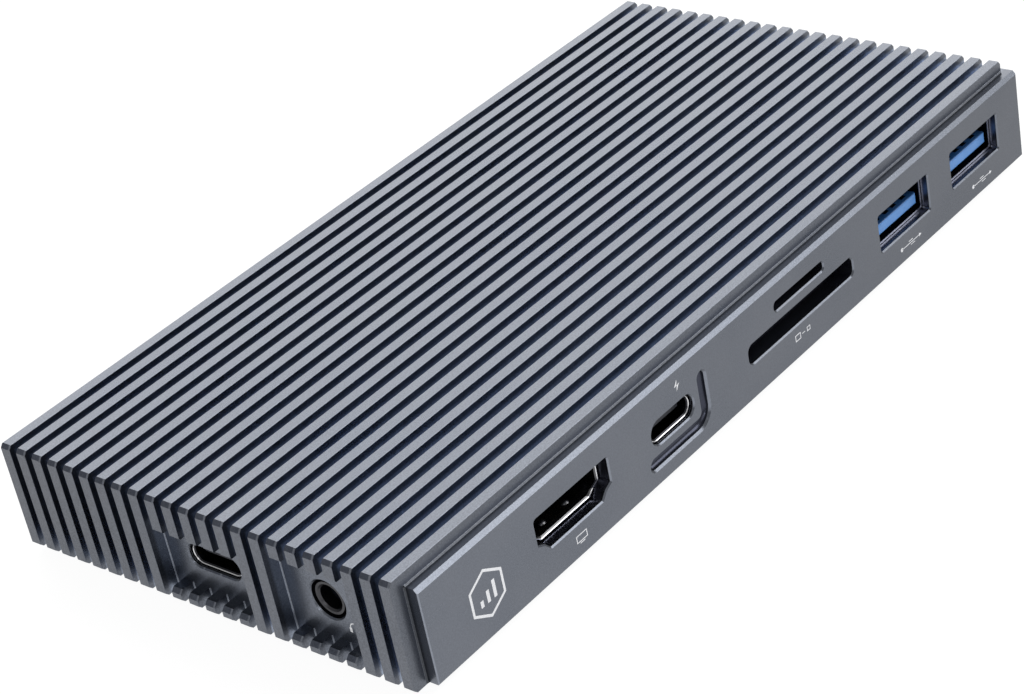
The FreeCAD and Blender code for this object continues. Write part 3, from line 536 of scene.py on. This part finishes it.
def printed_mark(name, shapes, place, material):
    """A thin layer of ink: each outline is raised a little off the metal, with its sides closed."""
    centre, across, outward = place
    up = Vector(UPWARD)
    mesh = bmesh.new()
    for shape in shapes:
        low, high = [[mesh.verts.new(centre + across * x * MM + up * y * MM + outward * lift)
                      for x, y in shape] for lift in (0.0, INK_T)]
        mesh.faces.new(high)
        for k in range(len(shape)):
            mesh.faces.new((low[k - 1], low[k], high[k], high[k - 1]))
    bmesh.ops.recalc_face_normals(mesh, faces=mesh.faces)
    data = bpy.data.meshes.new(name)
    mesh.to_mesh(data)
    mesh.free()
    data.materials.append(material)
    made = bpy.data.objects.new(name, data)
    bpy.context.scene.collection.objects.link(made)
    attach(made, ROOT)


def printed_marks():
    white = ink("white_ink")
    marks = {"mark_maker": (steps_mark(), on_plate(across=13.5, drop=10.1)),
             "mark_display": (screen_mark(), on_plate(across=31.5, drop=13.9)),
             "mark_power": (bolt_mark(), on_plate(across=54.2, drop=4.8)),
             "mark_cards": (cards_mark(), on_plate(across=82.3, drop=13.2)),
             "mark_data_1": (link_mark(), on_plate(across=110.4, drop=14.2)),
             "mark_data_2": (link_mark(), on_plate(across=130.5, drop=14.4)),
             "mark_headset": (headset_mark(), on_left_wall(behind=10.9, drop=12.2))}
    for name, (shapes, place) in marks.items():
        printed_mark(name, shapes, place, white)


# ---- studio --------------------------------------------------------------------------------------
CAMERA_AT = Vector((-0.2304, -0.2214, 0.1919))
CAMERA_AZIMUTH, CAMERA_ELEVATION, CAMERA_ROLL = -44.97, 30.86, 11.78
LENS_MM, SENSOR_MM = 90.74, 36.0
NEAREST, FARTHEST = 0.01, 20.0
FLOOR_HALF = 4.0
# each light's azimuth (0 is +X, 90 is +Y) and elevation, then distance, width and height, then radiance
LIGHTS = {
    "back_wall": (45, 32, 5.0, 7.2, 5.0, 2.06),
    "side_key": (-42, 42, 3.0, 1.8, 1.8, 3.4),
    "front_fill": (-135, 40, 2.4, 1.6, 1.2, 1.0),
    "glint": (-154, 28, 2.4, 0.45, 0.45, 7.0),
}


def camera():
    a, e, r = (math.radians(v) for v in (CAMERA_AZIMUTH, CAMERA_ELEVATION, CAMERA_ROLL))
    forward = Vector((-math.sin(a) * math.cos(e), math.cos(a) * math.cos(e), -math.sin(e)))
    level_right = forward.cross(Vector(UPWARD)).normalized()
    level_up = level_right.cross(forward)
    right = level_right * math.cos(r) - level_up * math.sin(r)
    up = right.cross(forward)
    data = bpy.data.cameras.new("camera")
    data.lens = LENS_MM
    data.sensor_width = SENSOR_MM
    data.clip_start = NEAREST
    data.clip_end = FARTHEST
    made = bpy.data.objects.new("camera", data)
    made.matrix_world = Matrix((right, up, -forward)).transposed().to_4x4()
    made.location = CAMERA_AT
    bpy.context.scene.collection.objects.link(made)
    bpy.context.scene.camera = made


def floor():
    """A plain floor; the light it gives off keeps the ground white round the object."""
    corners = [(-FLOOR_HALF, -FLOOR_HALF, 0), (FLOOR_HALF, -FLOOR_HALF, 0),
               (FLOOR_HALF, FLOOR_HALF, 0), (-FLOOR_HALF, FLOOR_HALF, 0)]
    mesh = bpy.data.meshes.new("floor")
    mesh.from_pydata(corners, [], [(0, 1, 2, 3)])
    m = Maker("floor", Roughness=0.9, Emission_Color=(*WHITE, 1.0), Emission_Strength=FLOOR_GLOW)
    m.colour(m.mix(m.span(m.noise(size=0.3, detail=1.0), 0.0, 1.0), FLOOR_PALE, FLOOR_PALER))
    mesh.materials.append(m.material)
    made = bpy.data.objects.new("floor", mesh)
    bpy.context.scene.collection.objects.link(made)


def softbox(name, azimuth, elevation, distance, width, height, radiance):
    """A rectangular light that faces the object from this direction; the camera doesn't see it."""
    a, e = math.radians(azimuth), math.radians(elevation)
    toward = Vector((math.cos(a) * math.cos(e), math.sin(a) * math.cos(e), math.sin(e)))
    data = bpy.data.lights.new(name, "AREA")
    data.shape = "RECTANGLE"
    data.size = width
    data.size_y = height
    data.energy = radiance * math.pi * width * height
    made = bpy.data.objects.new(name, data)
    made.location = toward * distance
    made.rotation_mode = "QUATERNION"
    made.rotation_quaternion = (-toward).to_track_quat("-Z", "Y")
    made.visible_camera = False
    bpy.context.scene.collection.objects.link(made)


def studio():
    world = bpy.data.worlds.new("studio")
    bpy.context.scene.world = world
    world.use_nodes = True
    background = next(n for n in world.node_tree.nodes if n.type == "BACKGROUND")
    background.inputs["Color"].default_value = (*WHITE, 1.0)
    background.inputs["Strength"].default_value = SKY_GLOW
    for name, settings in LIGHTS.items():
        softbox(name, *settings)
    bpy.context.scene.view_settings.view_transform = "Standard"


camera()
floor()
studio()
dress_cad_nodes()
printed_marks()
